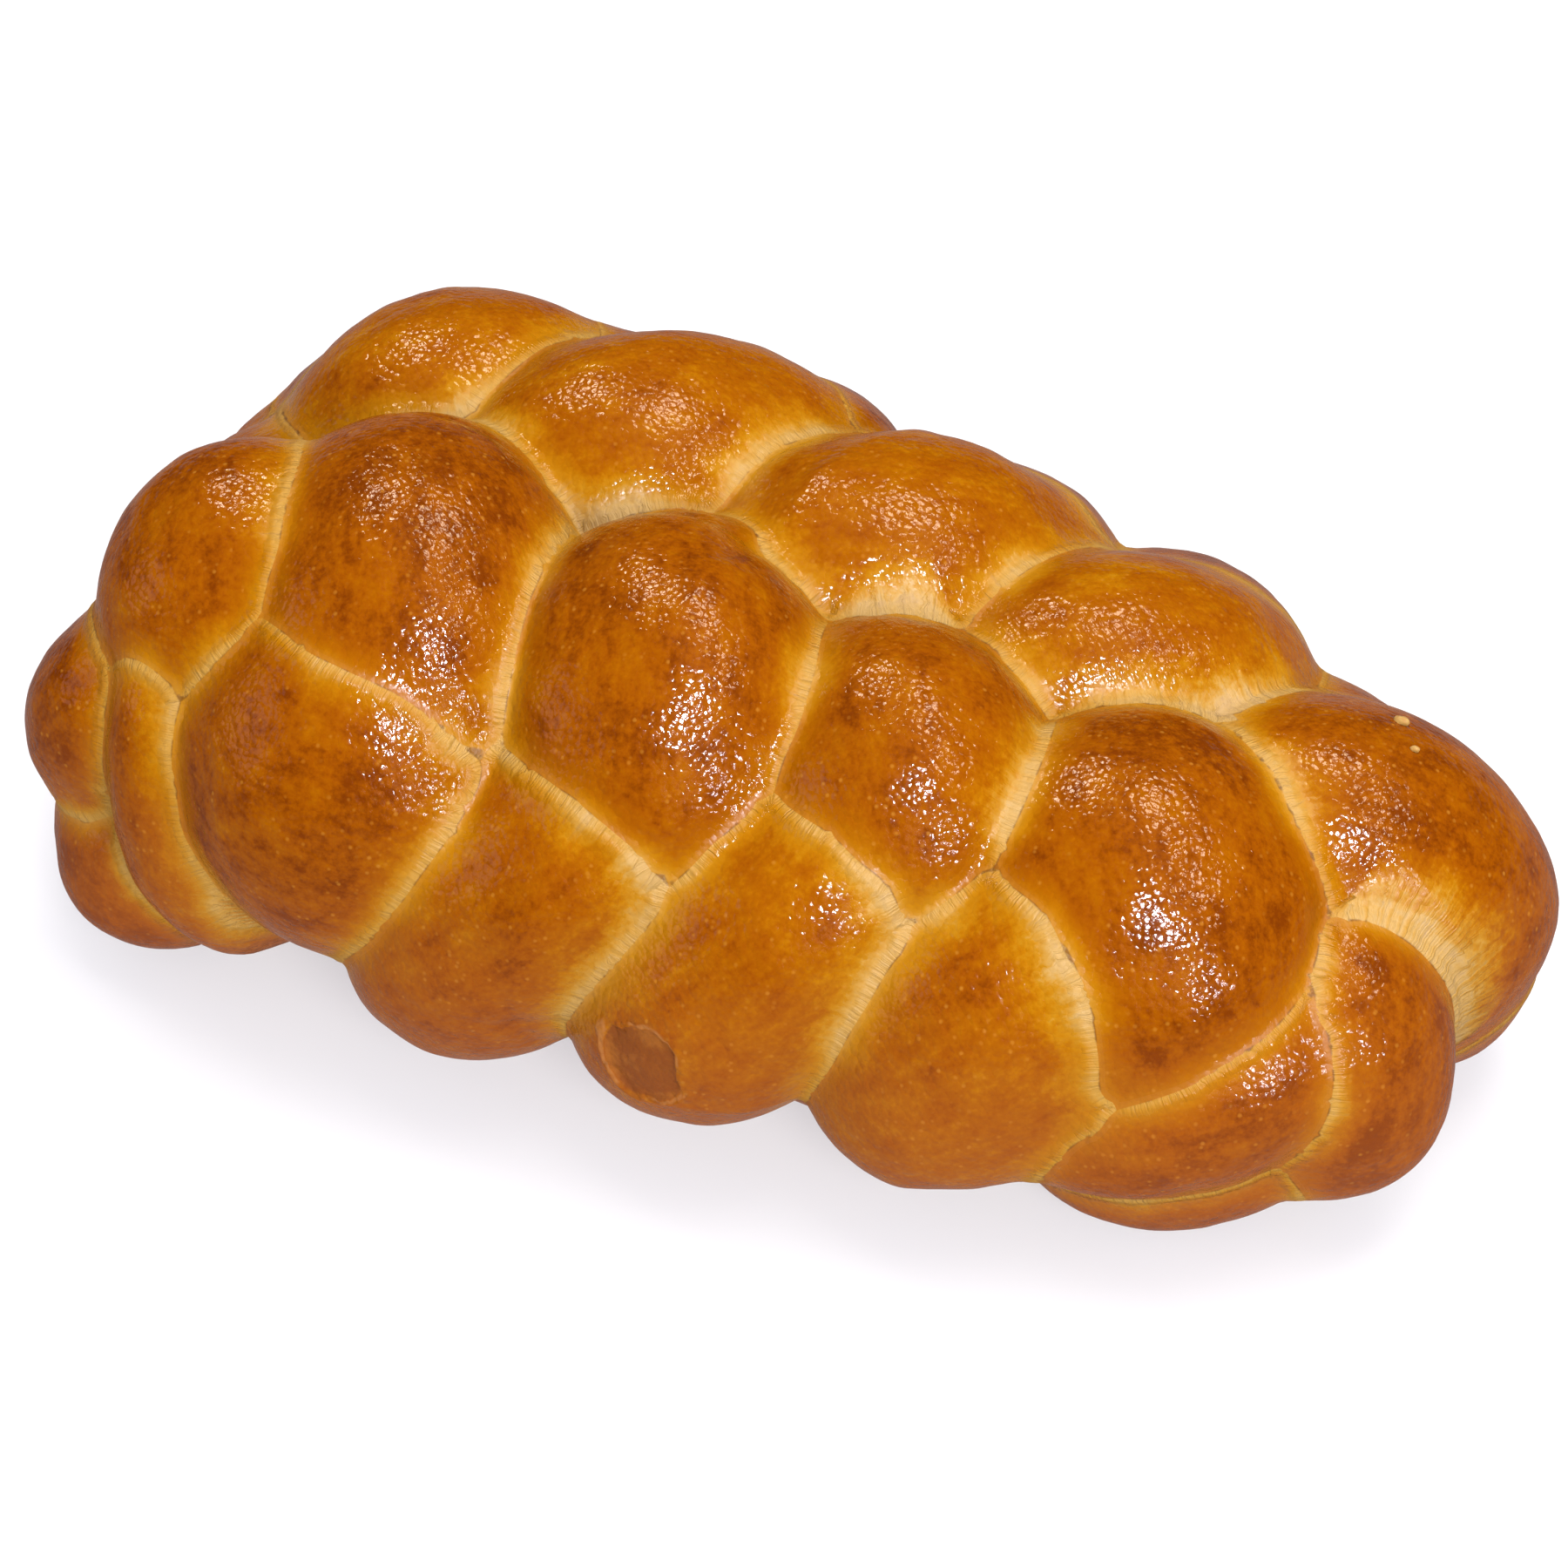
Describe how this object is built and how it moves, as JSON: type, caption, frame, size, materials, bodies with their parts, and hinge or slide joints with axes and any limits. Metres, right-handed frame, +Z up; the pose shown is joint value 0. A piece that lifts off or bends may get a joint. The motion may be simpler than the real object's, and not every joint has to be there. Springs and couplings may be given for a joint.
{
  "type": "braided loaf",
  "caption": "Plump braided egg loaf with a glossy browned crust, pale stretched creases between the strands, a pinched tail and a flat underside.",
  "frame": {"origin": "middle of the bounding box at the level of the flat underside", "axes": "+X along the loaf towards the pinched tail, +Y across to the far side, +Z up from the board"},
  "size_m": [0.2762, 0.1624, 0.1029],
  "materials": {
    "crust": "glossy baked crust"
  },
  "bodies": {
    "root": {"loaf": "crust"}
  },
  "joints": []
}
